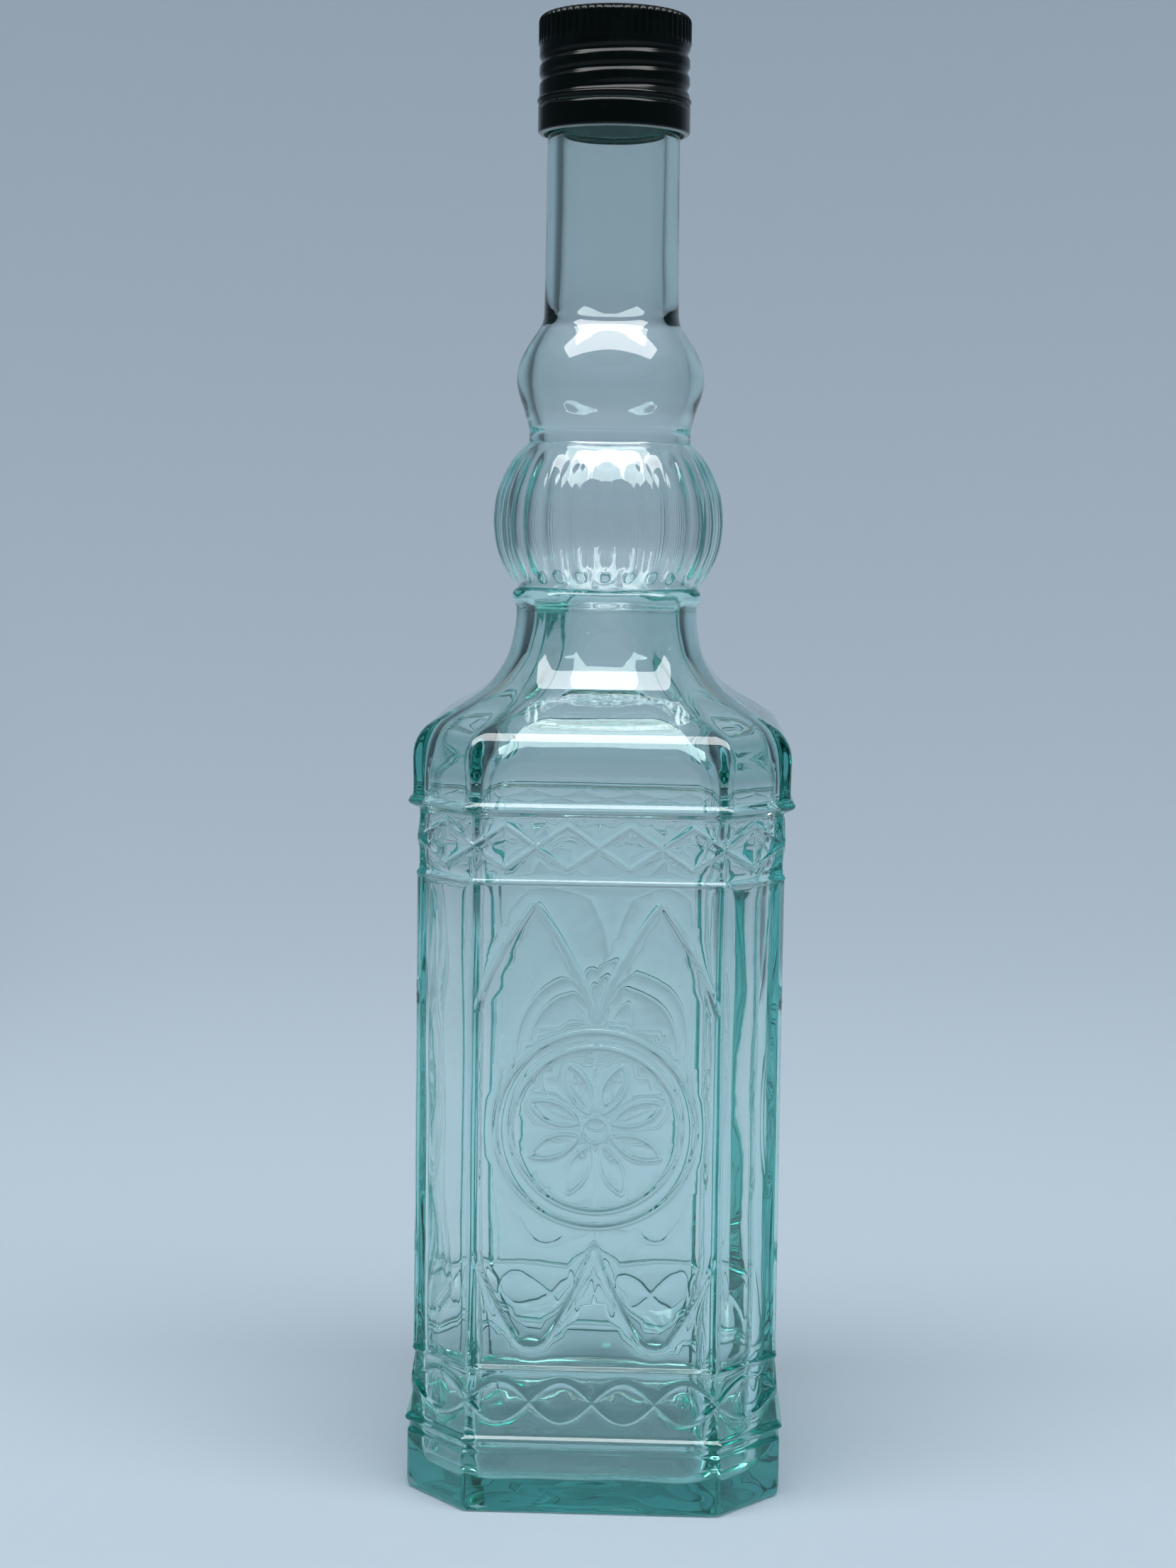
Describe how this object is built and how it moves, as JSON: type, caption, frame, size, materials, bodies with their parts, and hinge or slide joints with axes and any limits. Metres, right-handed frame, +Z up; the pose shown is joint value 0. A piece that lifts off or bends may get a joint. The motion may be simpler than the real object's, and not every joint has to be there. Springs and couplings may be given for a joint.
{
  "type": "glass oil bottle",
  "caption": "Octagonal pressed-glass kitchen oil bottle with ornamented panels, two bulbs on the neck, a black screw cap, tamper band and pourer insert.",
  "frame": {"origin": "middle of the base, on the surface that the bottle stands on", "axes": "+Z up along the bottle's axis, front face towards -Y, +X to the right seen from the front"},
  "size_m": [0.0786, 0.0786, 0.3046],
  "materials": {
    "aqua_glass": "clear pale aqua pressed glass, glossy",
    "pourer_plastic": "natural polyethylene, satin",
    "liner_foam": "white foamed polyethylene, matt",
    "black_lacquered_aluminium": "black lacquered sheet, semi-gloss",
    "black_lacquered_band": "black lacquered sheet, semi-gloss, bare metal inside"
  },
  "bodies": {
    "bottle": {"glass_bottle": "aqua_glass", "pourer_insert": "pourer_plastic"},
    "liner": {"cap_liner": "liner_foam"},
    "cap": {"cap_shell": "black_lacquered_aluminium"},
    "band": {"tamper_band": "black_lacquered_band"}
  },
  "joints": [
    {"name": "cap_lift", "type": "slide", "parent": "bottle", "child": "liner", "axis": [0, 0, 1], "range_m": [0, 0.0252]},
    {"name": "cap_turn", "type": "hinge", "parent": "liner", "child": "cap", "pos_m": [0, 0, 0.304], "axis": [0, 0, 1], "range_deg": [0, 2520]},
    {"name": "band_spin", "type": "hinge", "parent": "bottle", "child": "band", "pos_m": [0, 0, 0.283], "axis": [0, 0, 1], "continuous": true}
  ],
  "couplings": [
    {"joint": "cap_lift", "follows": "cap_turn", "m_per_rad": 0.00057296}
  ]
}
